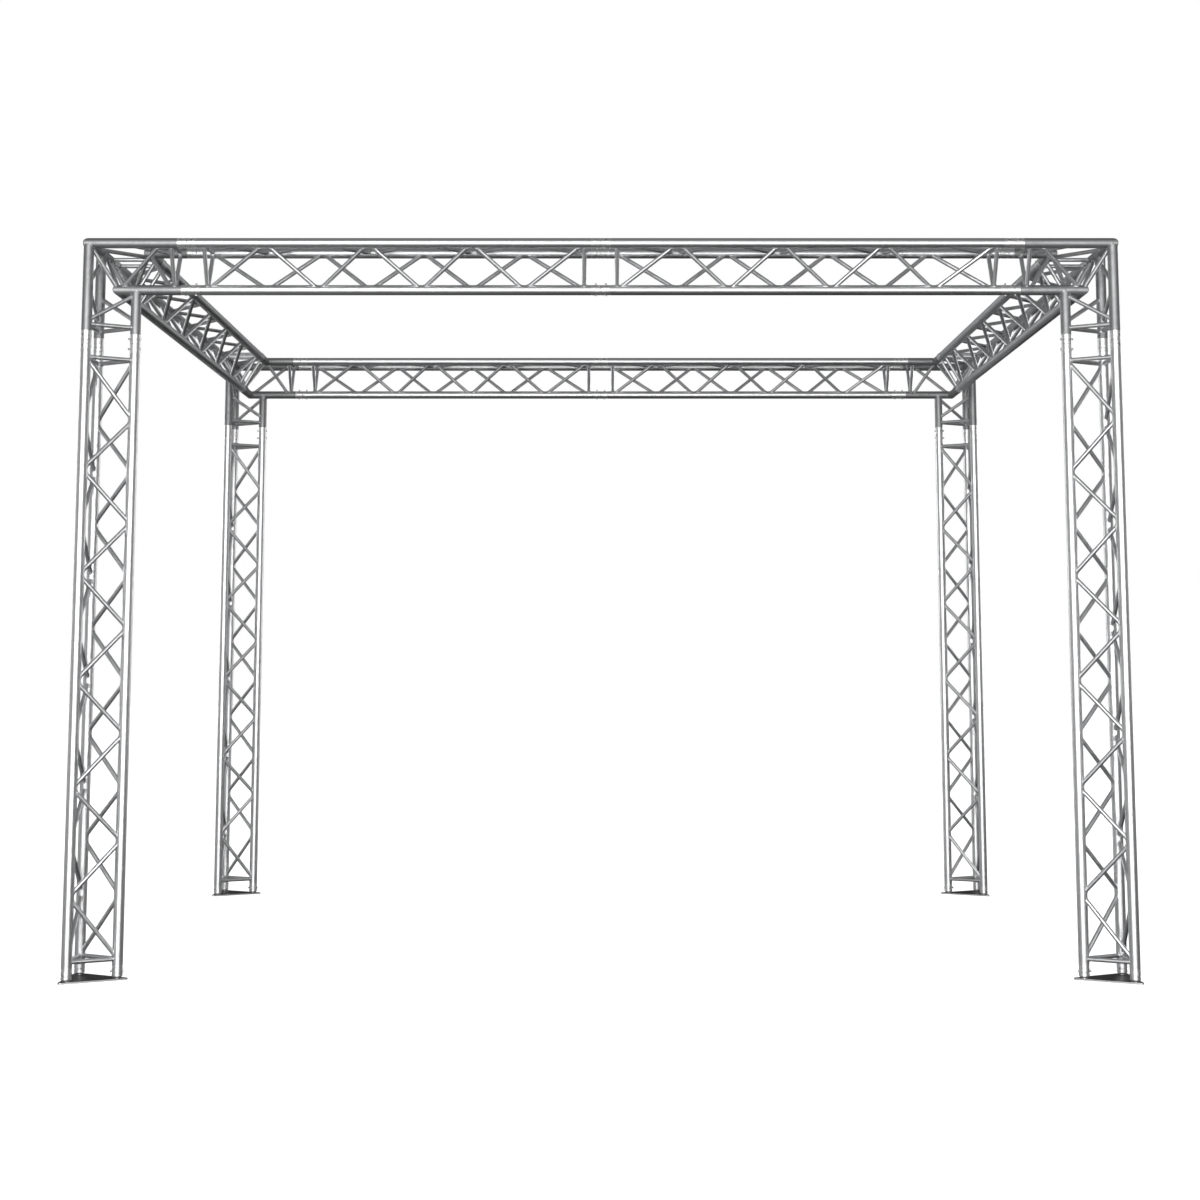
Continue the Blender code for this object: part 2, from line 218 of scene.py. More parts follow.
def turnRings(name, rings, sides, hollow=False):
    # extrudes a circle from ring to ring; each ring is a (radius, height) pair,
    # and a hollow piece goes back to its first ring
    deselectAll()
    radius, height = rings[0]
    bpy.ops.mesh.primitive_circle_add(vertices=sides, radius=radius, location=(0, 0, height))
    piece = bpy.context.object
    piece.name = name
    bpy.ops.object.transform_apply(location=True, rotation=True, scale=True)
    bpy.ops.object.mode_set(mode="EDIT")
    bpy.ops.mesh.select_all(action="SELECT")
    path = rings[1:] + rings[:1] if hollow else rings[1:]
    for nextRadius, nextHeight in path:
        move = {"value": (0, 0, nextHeight - height)}
        bpy.ops.mesh.extrude_region_move(TRANSFORM_OT_translate=move)
        grow = nextRadius / radius
        bpy.ops.transform.resize(value=(grow, grow, 1), center_override=(0, 0, nextHeight))
        radius, height = nextRadius, nextHeight
    bpy.ops.mesh.select_all(action="SELECT")
    bpy.ops.mesh.remove_doubles(threshold=mergeDistance)
    if not hollow:
        bpy.ops.mesh.fill_holes(sides=0)
    bpy.ops.mesh.normals_make_consistent(inside=False)
    endEdit()
    return piece


cameraView = {
    "lens": 60.265,
    "distance": 9.5388,  # from the front chords' axes
    "below": 2.0703,  # under the top chords' axes
    "sensor": 36,
    "farthest": 200,
    "tiltUp": 0.1218,
    "shiftX": -0.0006,
    "shiftY": -0.1430,
}


def addCamera():
    low, high = cadBox
    frontLow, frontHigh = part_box("beam_front_left")
    data = bpy.data.cameras.new("view")
    data.lens = cameraView["lens"]
    data.sensor_width = cameraView["sensor"]
    data.shift_x = cameraView["shiftX"]
    data.shift_y = cameraView["shiftY"]
    data.clip_end = cameraView["farthest"]
    camera = bpy.data.objects.new("view", data)
    bpy.context.collection.objects.link(camera)
    frontAxis = frontLow.y + section["chordRadius"]
    topAxis = frontHigh.z - section["chordRadius"]
    middle = (low[0] + high[0]) / 2
    camera.location = (middle, frontAxis - cameraView["distance"], topAxis - cameraView["below"])
    camera.rotation_euler = (math.pi / 2 + cameraView["tiltUp"], 0, 0)
    bpy.context.scene.camera = camera


addCamera()
print("camera set")


studio = {
    "floorSize": 160,
    "floorDrop": 0.0004,
    "floorColour": (0.90, 0.90, 0.90, 1),
    "floorGlow": (0.95, 1.0),  # beside the object, far away
    "floorFade": (6.0, 26.0),
    "backdrop": (1.0, 1.0, 1.0, 1),
    "paleRoom": (0.165, 0.167, 0.17, 1),
    "darkRoom": (0.006, 0.006, 0.007, 1),
    "darkFromX": (-0.26, -0.02),
    "darkFromZ": (0.22, -0.02),
}
softboxes = {
    "keyLight": {"at": (-3.8, -15.0, 3.2), "size": (2.8, 6.5), "power": 960},
    "rightFrontLight": {"at": (3.4, -14.5, 2.2), "size": (9, 4.5), "power": 850},
    "leftWall": {"at": (-16.0, -3.0, 2.0), "size": (8, 6), "power": 90},
    "rightWall": {"at": (16.0, -2.0, 2.0), "size": (8, 6), "power": 70},
    "rearLeftLight": {"at": (-11.5, 10.5, 4.0), "size": (5, 6), "power": 430},
    "rearRightLight": {"at": (11.5, 10.5, 4.0), "size": (5, 6), "power": 430},
}


def mapRange(tree, source, fromMin, fromMax, toMin=0.0, toMax=1.0):
    node = tree.nodes.new("ShaderNodeMapRange")
    node.inputs["From Min"].default_value = fromMin
    node.inputs["From Max"].default_value = fromMax
    node.inputs["To Min"].default_value = toMin
    node.inputs["To Max"].default_value = toMax
    tree.links.new(source, node.inputs["Value"])
    return node.outputs["Result"]


def maths(tree, operation, first, second):
    node = tree.nodes.new("ShaderNodeMath")
    node.operation = operation
    for socket, value in zip(node.inputs, (first, second)):
        if isinstance(value, (int, float)):
            socket.default_value = value
        else:
            tree.links.new(value, socket)
    return node.outputs["Value"]


def addFloor():
    deselectAll()
    under = cadBox[0][2] - studio["floorDrop"]
    bpy.ops.mesh.primitive_plane_add(size=studio["floorSize"], location=(0, 0, under))
    floor = bpy.context.object
    floor.name = "studio_floor"
    material = bpy.data.materials.new("paleFloor")
    material.use_nodes = True
    shader = material.node_tree.nodes["Principled BSDF"]
    shader.inputs["Base Color"].default_value = studio["floorColour"]
    shader.inputs["Roughness"].default_value = 0.9
    shader.inputs["Specular IOR Level"].default_value = 0.0
    shader.inputs["Emission Color"].default_value = (1, 1, 1, 1)
    # the floor brightens into the background with distance
    nodes, links = material.node_tree.nodes, material.node_tree.links
    place = nodes.new("ShaderNodeTexCoord")
    distance = nodes.new("ShaderNodeVectorMath")
    distance.operation = "LENGTH"
    links.new(place.outputs["Object"], distance.inputs[0])
    fade = (*studio["floorFade"], *studio["floorGlow"])
    glow = mapRange(material.node_tree, distance.outputs["Value"], *fade)
    links.new(glow, shader.inputs["Emission Strength"])
    floor.data.materials.append(material)
    floor.visible_glossy = False


def addBackground():
    world = bpy.data.worlds.new("studio")
    bpy.context.scene.world = world
    world.use_nodes = True
    nodes, links = world.node_tree.nodes, world.node_tree.links
    nodes.clear()
    output = nodes.new("ShaderNodeOutputWorld")
    seen = nodes.new("ShaderNodeBackground")
    seen.inputs["Color"].default_value = studio["backdrop"]
    # the room that the metal reflects: pale grey, and nearly dark towards the lower right
    direction = nodes.new("ShaderNodeTexCoord")
    split = nodes.new("ShaderNodeSeparateXYZ")
    links.new(direction.outputs["Generated"], split.inputs["Vector"])
    toRight = mapRange(world.node_tree, split.outputs["X"], *studio["darkFromX"])
    toLow = mapRange(world.node_tree, split.outputs["Z"], *studio["darkFromZ"])
    both = maths(world.node_tree, "MULTIPLY", toRight, toLow)
    room = nodes.new("ShaderNodeMix")
    room.data_type = "RGBA"
    room.inputs["A"].default_value = studio["paleRoom"]
    room.inputs["B"].default_value = studio["darkRoom"]
    dim = nodes.new("ShaderNodeBackground")
    rays = nodes.new("ShaderNodeLightPath")
    choose = nodes.new("ShaderNodeMixShader")
    links.new(both, room.inputs["Factor"])
    links.new(room.outputs["Result"], dim.inputs["Color"])
    links.new(rays.outputs["Is Camera Ray"], choose.inputs["Fac"])
    links.new(dim.outputs["Background"], choose.inputs[1])
    links.new(seen.outputs["Background"], choose.inputs[2])
    links.new(choose.outputs["Shader"], output.inputs["Surface"])


def addSoftbox(name, settings):
    data = bpy.data.lights.new(name, "AREA")
    data.shape = "RECTANGLE"
    data.size, data.size_y = settings["size"]
    data.energy = settings["power"]
    light = bpy.data.objects.new(name, data)
    bpy.context.collection.objects.link(light)
    low, high = cadBox
    aim = Vector((0, 0, (low[2] + high[2]) / 2))
    light.location = settings["at"]
    light.rotation_euler = (aim - Vector(settings["at"])).to_track_quat("-Z", "Y").to_euler()


addFloor()
addBackground()
for lightName, lightSettings in softboxes.items():
    addSoftbox(lightName, lightSettings)
bpy.context.scene.view_settings.view_transform = "Standard"
print("studio set")


def newGroup(name, inputs, outputs):
    group = bpy.data.node_groups.new(name, "ShaderNodeTree")
    for socketName, socketType, value in inputs:
        socket = group.interface.new_socket(name=socketName, in_out="INPUT", socket_type=socketType)
        if value is not None:
            socket.default_value = value
    for socketName in outputs:
        group.interface.new_socket(name=socketName, in_out="OUTPUT", socket_type="NodeSocketFloat")
    return group, group.nodes.new("NodeGroupInput"), group.nodes.new("NodeGroupOutput")


def stretched(tree, source, stretch, turn=(0, 0, 0)):
    node = tree.nodes.new("ShaderNodeMapping")
    node.inputs["Rotation"].default_value = turn
    node.inputs["Scale"].default_value = stretch
    tree.links.new(source, node.inputs["Vector"])
    return node.outputs["Vector"]


def noise(tree, source, scale, detail=3.0, roughness=0.55):
    node = tree.nodes.new("ShaderNodeTexNoise")
    node.inputs["Detail"].default_value = detail
    node.inputs["Roughness"].default_value = roughness
    tree.links.new(source, node.inputs["Vector"])
    if isinstance(scale, (int, float)):
        node.inputs["Scale"].default_value = scale
    else:
        tree.links.new(scale, node.inputs["Scale"])
    return node.outputs["Fac"]


def drawnLinesGroup():
    # long fine lines left by the extrusion die, running along Z of the given coordinates
    group, given, out = newGroup(
        "drawnLines",
        [("Along", "NodeSocketVector", None), ("Fineness", "NodeSocketFloat", 620.0)],
        ["Lines", "Streaks"],
    )
    along = given.outputs["Along"]
    fine = noise(group, stretched(group, along, (1, 1, 0.008)), given.outputs["Fineness"], 4.0, 0.6)
    wide = noise(group, stretched(group, along, (1, 1, 0.03)), 95.0, 2.0, 0.5)
    group.links.new(mapRange(group, fine, 0.3, 0.7), out.inputs["Lines"])
    group.links.new(mapRange(group, wide, 0.35, 0.68), out.inputs["Streaks"])
    return group


def handlingGroup():
    # dull patches from gloves and flight cases, and fine scuffs in two directions
    group, given, out = newGroup(
        "handlingMarks",
        [("Place", "NodeSocketVector", None), ("Patch", "NodeSocketFloat", 5.0)],
        ["Patches", "Scuffs"],
    )
    place = given.outputs["Place"]
    broad = noise(group, place, given.outputs["Patch"], 4.0, 0.6)
    small = noise(group, place, 38.0, 3.0, 0.6)
    broad, small = mapRange(group, broad, 0.38, 0.66), mapRange(group, small, 0.3, 0.62)
    patches = maths(group, "MULTIPLY", broad, small)
    oneWay = stretched(group, place, (1, 0.05, 0.4), (0.5, 0.9, 0.3))
    oneWay = noise(group, oneWay, 520.0, 2.0, 0.5)
    otherWay = stretched(group, place, (0.06, 1, 0.5), (0.2, 0.4, 1.1))
    otherWay = noise(group, otherWay, 430.0, 2.0, 0.5)
    oneWay, otherWay = mapRange(group, oneWay, 0.66, 0.72), mapRange(group, otherWay, 0.67, 0.73)
    scuffs = maths(group, "MAXIMUM", oneWay, otherWay)
    spread = noise(group, place, 9.0, 2.0, 0.5)
    scuffs = maths(group, "MULTIPLY", scuffs, mapRange(group, spread, 0.45, 0.6))
    group.links.new(patches, out.inputs["Patches"])
    group.links.new(scuffs, out.inputs["Scuffs"])
    return group


drawnLines = drawnLinesGroup()
handlingMarks = handlingGroup()

# how the marks that every finish shares change its colour and roughness
wear = {
    "streaks": 0.22,
    "soot": (0.25, 0.9),
    "lineRoughness": 0.09,
    "patchRoughness": 0.06,
    "scuffRoughness": 0.10,
    "sootRoughness": 0.14,
    "below": 0.05,  # the lines vary the roughness from this far below the finish's own
    "bumpDistance": 0.00006,
}
finishes = {
    "chordAluminium": {
        "clean": (0.80, 0.805, 0.81), "dull": (0.68, 0.685, 0.69), "burnt": (0.50, 0.49, 0.47),
        "roughness": 0.40, "fineness": 620.0, "patch": 4.0, "bump": 0.10,
    },
    # the corner tubes: the chords' aluminium with a much darker colour, painted shade, and a higher
    # roughness
    "cornerAluminiumPaintedShade": {
        "clean": (0.42, 0.423, 0.427), "dull": (0.35, 0.353, 0.357), "burnt": (0.35, 0.34, 0.325),
        "roughness": 0.56, "fineness": 520.0, "patch": 4.0, "bump": 0.10,
    },
    "braceAluminium": {
        "clean": (0.79, 0.795, 0.80), "dull": (0.66, 0.665, 0.67), "burnt": (0.46, 0.45, 0.43),
        "roughness": 0.42, "fineness": 900.0, "patch": 6.0, "bump": 0.10,
    },
    # the plate's flat faces: its aluminium painted near black, painted shade
    "plateTopPaintedShade": {
        "clean": (0.012, 0.012, 0.013), "dull": (0.035, 0.035, 0.036),
        "burnt": (0.035, 0.035, 0.036),
        "roughness": 0.46, "fineness": 260.0, "patch": 7.0, "bump": 0.14,
        "metallic": 0.0, "specular": 0.22,
    },
    "plateEdge": {
        "clean": (0.78, 0.78, 0.785), "dull": (0.56, 0.56, 0.565), "burnt": (0.56, 0.56, 0.565),
        "roughness": 0.42, "fineness": 260.0, "patch": 7.0, "bump": 0.14,
    },
    "turnedAluminium": {
        "clean": (0.93, 0.932, 0.935), "dull": (0.78, 0.783, 0.787), "burnt": (0.78, 0.783, 0.787),
        "roughness": 0.42, "fineness": 1500.0, "patch": 22.0, "bump": 0.08,
    },
    "platedSteel": {
        "clean": (0.66, 0.66, 0.65), "dull": (0.44, 0.43, 0.41), "burnt": (0.44, 0.43, 0.41),
        "roughness": 0.30, "fineness": 1900.0, "patch": 45.0, "bump": 0.08,
    },
}


def colourMix(tree, factor, first, second):
    node = tree.nodes.new("ShaderNodeMix")
    node.data_type = "RGBA"
    tree.links.new(factor, node.inputs["Factor"])
    for socket, value in ((node.inputs["A"], first), (node.inputs["B"], second)):
        if isinstance(value, tuple):
            socket.default_value = (*value, 1)
        else:
            tree.links.new(value, socket)
    return node.outputs["Result"]


def attribute(tree, name):
    node = tree.nodes.new("ShaderNodeAttribute")
    node.attribute_name = name
    return node


def placedGroup(tree, group):
    node = tree.nodes.new("ShaderNodeGroup")
    node.node_tree = group
    return node


def addBump(tree, shader, height, strength, distance):
    bump = tree.nodes.new("ShaderNodeBump")
    bump.inputs["Strength"].default_value = strength
    bump.inputs["Distance"].default_value = distance
    tree.links.new(height, bump.inputs["Height"])
    tree.links.new(bump.outputs["Normal"], shader.inputs["Normal"])


def metalFinish(name):
    finish = finishes[name]
    material = bpy.data.materials.new(name)
    material.use_nodes = True
    tree = material.node_tree
    shader = tree.nodes["Principled BSDF"]
    shader.inputs["Metallic"].default_value = finish.get("metallic", 1.0)
    shader.inputs["Specular IOR Level"].default_value = finish.get("specular", 0.5)
    place = tree.nodes.new("ShaderNodeTexCoord").outputs["Object"]
    lines = placedGroup(tree, drawnLines)
    lines.inputs["Fineness"].default_value = finish["fineness"]
    tree.links.new(attribute(tree, "grain").outputs["Vector"], lines.inputs["Along"])
    marks = placedGroup(tree, handlingMarks)
    marks.inputs["Patch"].default_value = finish["patch"]
    tree.links.new(place, marks.inputs["Place"])
    heat = attribute(tree, "heat").outputs["Fac"]
    uneven = mapRange(tree, noise(tree, place, 160.0), 0.3, 0.7, *wear["soot"])
    soot = maths(tree, "MULTIPLY", heat, uneven)
    worn = colourMix(tree, marks.outputs["Patches"], finish["clean"], finish["dull"])
    streaks = maths(tree, "MULTIPLY", lines.outputs["Streaks"], wear["streaks"])
    streaked = colourMix(tree, streaks, worn, finish["dull"])
    tree.links.new(colourMix(tree, soot, streaked, finish["burnt"]), shader.inputs["Base Color"])
    rough = maths(tree, "MULTIPLY_ADD", lines.outputs["Lines"], wear["lineRoughness"])
    rough.node.inputs[2].default_value = finish["roughness"] - wear["below"]
    for mark, share in (
        (marks.outputs["Patches"], wear["patchRoughness"]),
        (marks.outputs["Scuffs"], wear["scuffRoughness"]),
        (soot, wear["sootRoughness"]),
    ):
        rough = maths(tree, "ADD", rough, maths(tree, "MULTIPLY", mark, share))
    tree.links.new(rough, shader.inputs["Roughness"])
    height = maths(tree, "SUBTRACT", lines.outputs["Lines"], marks.outputs["Scuffs"])
    addBump(tree, shader, height, finish["bump"], wear["bumpDistance"])
    return material


weldFinish = {
    "bright": (0.74, 0.74, 0.745),
    "dark": (0.42, 0.41, 0.395),
    "ripples": 21.0,
    "wobble": 2.2,
    "grime": 0.9,
    "roughness": 0.36,
    "grimeRoughness": 0.22,
    "bump": 0.6,
    "bumpDistance": 0.0006,
}


def weldMaterial():
    # overlapping ripples of the bead, counted round the tube by the grain coordinates
    material = bpy.data.materials.new("weldBead")
    material.use_nodes = True
    tree = material.node_tree
    shader = tree.nodes["Principled BSDF"]
    shader.inputs["Metallic"].default_value = 1.0
    place = tree.nodes.new("ShaderNodeTexCoord").outputs["Object"]
    split = tree.nodes.new("ShaderNodeSeparateXYZ")
    tree.links.new(attribute(tree, "grain").outputs["Vector"], split.inputs["Vector"])
    turn = maths(tree, "ARCTAN2", split.outputs["Y"], split.outputs["X"])
    wobble = maths(tree, "MULTIPLY", noise(tree, place, 260.0, 2.0), weldFinish["wobble"])
    phase = maths(tree, "ADD", maths(tree, "MULTIPLY", turn, weldFinish["ripples"]), wobble)
    ripple = mapRange(tree, maths(tree, "SINE", phase, 0.0), -1.0, 1.0)
    grime = mapRange(tree, noise(tree, place, 120.0, 4.0), 0.35, 0.65)
    grime = maths(tree, "MULTIPLY", grime, weldFinish["grime"])
    tone = maths(tree, "MULTIPLY", maths(tree, "SUBTRACT", 1.0, ripple), grime)
    colour = colourMix(tree, tone, weldFinish["bright"], weldFinish["dark"])
    tree.links.new(colour, shader.inputs["Base Color"])
    rough = maths(tree, "MULTIPLY_ADD", tone, weldFinish["grimeRoughness"])
    rough.node.inputs[2].default_value = weldFinish["roughness"]
    tree.links.new(rough, shader.inputs["Roughness"])
    addBump(tree, shader, ripple, weldFinish["bump"], weldFinish["bumpDistance"])
    return material


materials = {name: metalFinish(name) for name in finishes}
materials["weldBead"] = weldMaterial()
print("materials made:", len(materials))


def coat(piece, materialName):
    piece.data.materials.clear()
    piece.data.materials.append(materials[materialName])


pinShape = {
    "radius": 0.0057,  # on the chord's axis
    "taper": 1 / 62,
    "outer": 0.0285,
    "inner": 0.0335,
    "sides": 20,
    "play": 0.0003,
    "cutterReach": 0.006,
    "driftHole": 0.0026,
    "clipHole": 0.0013,
    "clipHoleAt": -0.0298,
}
receiver = {
    "mouth": 0.0215,
    "innerEnd": 0.0168,
    "depth": 0.046,
    "bushEnd": 0.052,
    "chamfer": 0.0016,
    "ringAt": 0.0187,
    "ringDepth": 0.0016,
    "ringWidth": 0.0056,
    "seamAt": 0.0475,
    # the welded seam: height over the chord, distance past seamAt
    "seamProfile": (
        (0.0, -0.0040),
        (-0.0015, -0.0030),
        (-0.0015, -0.0012),
        (0.0004, 0.0002),
        (0.0004, 0.0016),
        (0.0, 0.0028),
    ),
}


def pinCutter(height, sides=18):
    # a tapered cutter along X through a tube that stands on Z
    reach, taper = pinShape["cutterReach"], pinShape["taper"]
    outer, inner = pinShape["outer"] + reach, -pinShape["inner"] - reach
    bore = pinShape["radius"] + pinShape["play"]
    rings = [(bore + taper * inner, inner), (bore + taper * outer, outer)]
    cutter = turnRings("pinCutter", rings, sides)
    cutter.data.transform(axesMatrix((0, 0, height), (0, 0, 1), (1, 0, 0)))
    return cutter


def receiverRings():
    # outside of a tube's finished end, from its face inwards: chamfer, ring groove, welded seam
    radius, face = section["chordRadius"], gapHalf
    chamfer, ringDepth = receiver["chamfer"], receiver["ringDepth"]
    ring, ringHalf = receiver["ringAt"], receiver["ringWidth"] / 2
    seam = [(radius + up, receiver["seamAt"] + past) for up, past in receiver["seamProfile"]]
    return [
        (receiver["mouth"], face),
        (radius - chamfer, face),
        (radius - chamfer * 0.3, face + chamfer * 0.3),
        (radius, face + chamfer),
        (radius, ring - ringHalf),
        (radius - ringDepth, ring - ringHalf * 0.5),
        (radius - ringDepth, ring + ringHalf * 0.5),
        (radius, ring + ringHalf),
        *seam,
    ]


def socketRings():
    # inside of the same end, from the tube's bore out to the mouth
    return [
        (section["chordBore"], receiver["bushEnd"]),
        (receiver["innerEnd"], receiver["bushEnd"]),
        (receiver["innerEnd"], receiver["depth"]),
    ]


def coatTube(tube, tubeFinish, inReceiver):
    # the tube in one finish and its machined receivers in another
    coat(tube, tubeFinish)
    tube.data.materials.append(materials["turnedAluminium"])
    for face in tube.data.polygons:
        face.material_index = 1 if inReceiver(face.center.z) else 0


def chordTube(length):
    ends = socketRings() + receiverRings()
    rings = ends + [(radius, length - height) for radius, height in reversed(ends)]
    tube = turnRings("chord", withSupport(rings), section["chordSides"], hollow=True)
    fromEnd = section["pinFromJoint"]
    cutAway(tube, [pinCutter(fromEnd), pinCutter(length - fromEnd)])
    smoothRound(tube)
    rememberGrain(tube)
    seam = receiver["seamAt"]
    coatTube(tube, "chordAluminium", lambda height: height < seam or height > length - seam)
    return tube


def armTube(length, plainStart):
    # one finished end at length, the other end plain for a mitre or a saddle
    ends = socketRings() + receiverRings()
    rings = [(section["chordBore"], plainStart), (section["chordRadius"], plainStart)]
    rings += [(radius, length - height) for radius, height in reversed(ends)]
    tube = turnRings("arm", withSupport(rings), section["chordSides"], hollow=True)
    cutAway(tube, [pinCutter(length - section["pinFromJoint"])])
    # the corner tube takes the darker colour, painted shade, and its receiver end the turned finish
    coatTube(tube, "cornerAluminiumPaintedShade", lambda height: height > length - receiver["seamAt"])
    return tube


def saddleHeight(x, y, tilt, chordRadius):
    # where a brace along Z meets a chord through the origin that leans at tilt to it
    side = math.sqrt(max(chordRadius ** 2 - y ** 2, 0))
    return (side + x * math.cos(tilt)) / math.sin(tilt)


def weldRing(radius, heightAt, steps=section["beadSteps"], beadRadius=section["beadRadius"]):
    # a bead round a tube of this radius, lifted to the height that the joint has at each turn
    deselectAll()
    bpy.ops.mesh.primitive_torus_add(
        major_segments=steps,
        minor_segments=section["beadSides"],
        major_radius=radius + section["beadLift"],
        minor_radius=beadRadius,
    )
    bead = bpy.context.object
    bead.name = "weld"

    def lifted(point):
        turn = math.atan2(point.y, point.x)
        return point.z + heightAt(radius * math.cos(turn), radius * math.sin(turn))

    startEdit(bead)
    setHeights(bead, lifted)
    endEdit()
    bpy.ops.object.shade_smooth()
    rememberGrain(bead)
    coat(bead, "weldBead")
    return bead


braceModels = {}


def braceModel(length, tilt):
    # a round brace between two parallel chords whose axes it meets at tilt, with a bead at each end
    key = (round(length, 4), round(tilt, 4))
    if key in braceModels:
        return braceModels[key]
    radius, chordRadius = section["braceRadius"], section["chordRadius"]
    sunk, heated = chordRadius - section["beadSink"], section["heatedLength"]
    deselectAll()
    bpy.ops.mesh.primitive_cylinder_add(
        vertices=section["braceSides"], radius=radius, depth=length, location=(0, 0, length / 2)
    )
    tube = bpy.context.object
    tube.name = "brace"
    bpy.ops.object.transform_apply(location=True, rotation=True, scale=True)
    bpy.ops.object.mode_set(mode="EDIT")
    lowEnd = saddleHeight(0, 0, tilt, chordRadius)
    # loops where the weld's heat has faded out
    for height in (lowEnd + heated, length - lowEnd - heated):
        cutLoop((0, 0, height), (0, 0, 1))

    def cutToChords(point):
        if point.z < endTolerance:
            return saddleHeight(point.x, point.y, tilt, sunk)
        if point.z > length - endTolerance:
            return length - saddleHeight(-point.x, point.y, tilt, sunk)
        return point.z

    setHeights(tube, cutToChords)
    endEdit()
    smoothRound(tube)
    rememberGrain(tube, (lowEnd, length - lowEnd))
    coat(tube, "braceAluminium")
    low = weldRing(radius, lambda x, y: saddleHeight(x, y, tilt, chordRadius))
    high = weldRing(radius, lambda x, y: length - saddleHeight(-x, y, tilt, chordRadius))
    model = joinPieces("braceModel", [tube, low, high])
    braceModels[key] = model
    return model


def braceBetween(start, end, chordDirection):
    start, end = Vector(start), Vector(end)
    along = end - start
    chord = Vector(chordDirection)
    if along.dot(chord) < 0:
        chord = -chord
    tilt = along.angle(chord)
    return copyPiece(braceModel(along.length, tilt), axesMatrix(start, chord, along))


def chordPlaces():
    # from the section's centre line to each of its three chords
    outwards = Matrix.Translation((triangleRadius, 0, 0))
    thirds = (0, -2 * math.pi / 3, 2 * math.pi / 3)
    return [Matrix.Rotation(turn, 4, "Z") @ outwards for turn in thirds]


def braceStations(length):
    # the zigzag starts at one end member, keeps an even pitch and ends at the other
    first, pitch = section["firstStation"], section["stationPitch"]
    spans = round((length - 2 * first) / pitch)
    between = [first + pitch * index for index in range(1, spans)]
    return [section["endMember"], *between, length - section["endMember"]]


def straightSection(length):
    # stands on Z from 0 to length, with its first chord towards +X
    chord = chordTube(length)
    pieces = [copyPiece(chord, place) for place in chordPlaces()]
    axes = [place.translation for place in chordPlaces()]
    discard(chord)
    up = Vector((0, 0, 1))
    stations = braceStations(length)
    for index, first in enumerate(axes):
        second = axes[(index + 1) % 3]
        for height in (section["endMember"], length - section["endMember"]):
            pieces.append(braceBetween(first + up * height, second + up * height, up))
        for station, (low, high) in enumerate(zip(stations, stations[1:])):
            fromChord, toChord = (first, second) if station % 2 == 0 else (second, first)
            pieces.append(braceBetween(fromChord + up * low, toChord + up * high, up))
    return joinPieces("straight", pieces)


# from each section's centre line, the directions of its three chords
sin60 = math.sqrt(3) / 2
chordsOf = {
    "front": {"outer": (0, -sin60, 0.5), "inner": (0, sin60, 0.5), "lower": (0, 0, -1)},
    "back": {"outer": (0, sin60, 0.5), "inner": (0, -sin60, 0.5), "lower": (0, 0, -1)},
    "left": {"outer": (-sin60, 0, 0.5), "inner": (sin60, 0, 0.5), "lower": (0, 0, -1)},
    "right": {"outer": (sin60, 0, 0.5), "inner": (-sin60, 0, 0.5), "lower": (0, 0, -1)},
}


def legChords(front, side):
    signX, signY = sides[side], fronts[front]
    return {
        "outer": (signX * 0.5, signY * sin60, 0),
        "inner": (-signX, 0, 0),
        "rear": (signX * 0.5, -signY * sin60, 0),
    }


def beamCentre(node):
    low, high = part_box(node)
    centre = (low + high) / 2
    centre.z = high.z - section["chordRadius"] - triangleHeight / 3
    return centre


def legTop(front, side):
    # where the leg's centre line meets the joint above it
    low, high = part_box(f"leg_{front}_{side}")
    signX, radius = sides[side], section["chordRadius"]
    outerX = high.x - radius if signX > 0 else low.x + radius
    return Vector((outerX - signX * triangleHeight / 3, (low.y + high.y) / 2, high.z + gapHalf))


def finishPiece(piece, name, body, nodes=()):
    piece.name = name
    piece.data.name = name
    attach(piece, body)
    if nodes:
        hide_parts(*nodes)


def placeStraights():
    low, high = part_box("beam_front_left")
    shortModel = straightSection(round(high.x - low.x + section["jointGap"], 4))
    low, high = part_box("beam_left")
    longModel = straightSection(round(high.y - low.y + section["jointGap"], 4))
    for front in fronts:
        for side, signX in sides.items():
            name = f"beam_{front}_{side}"
            low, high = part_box(name)
            end = beamCentre(name)
            end.x = low.x - gapHalf if signX < 0 else high.x + gapHalf
            matrix = axesMatrix(end, chordsOf[front]["outer"], (-signX, 0, 0))
            finishPiece(copyPiece(shortModel, matrix), name + "_truss", "frame", [name])
            name = f"leg_{front}_{side}"
            matrix = axesMatrix(legTop(front, side), (-signX, 0, 0), (0, 0, -1))
            finishPiece(copyPiece(longModel, matrix), name + "_truss", "frame", [name])
    for side in sides:
        name = f"beam_{side}"
        end = beamCentre(name)
        end.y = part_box(name)[0].y - gapHalf
        matrix = axesMatrix(end, chordsOf[side]["outer"], (0, 1, 0))
        finishPiece(copyPiece(longModel, matrix), name + "_truss", "frame", [name])
    discard(shortModel, longModel)


placeStraights()
print("straight sections placed")


cornerShape = {
    "arm": 0.475,
    "mitreSpare": 0.03,
    "mitreRound": 0.0035,
    "besideMitre": 1.4,  # where the loops beside the mitre lie, in mitreRounds
    "postBeadRadius": 0.0028,
    "postBeadSteps": 40,
    # braces on the arm along X: (distance along, chord) to (distance along, chord)
    "armBraces": (
        ((0.13, "lower"), (0.35, "outer")),
        ((0.24, "inner"), (0.38, "lower")),
        ((0.14, "outer"), (0.36, "inner")),
    ),
    # braces on the arm down: (distance down, chord) to (distance down, chord)
    "legBraces": (
        ((0.38, "outer"), (0.23, "inner")),
        ((0.225, "rear"), (0.365, "inner")),
        ((0.05, "rear"), (0.205, "outer")),
        ((0.205, "outer"), (0.35, "rear")),
    ),
}


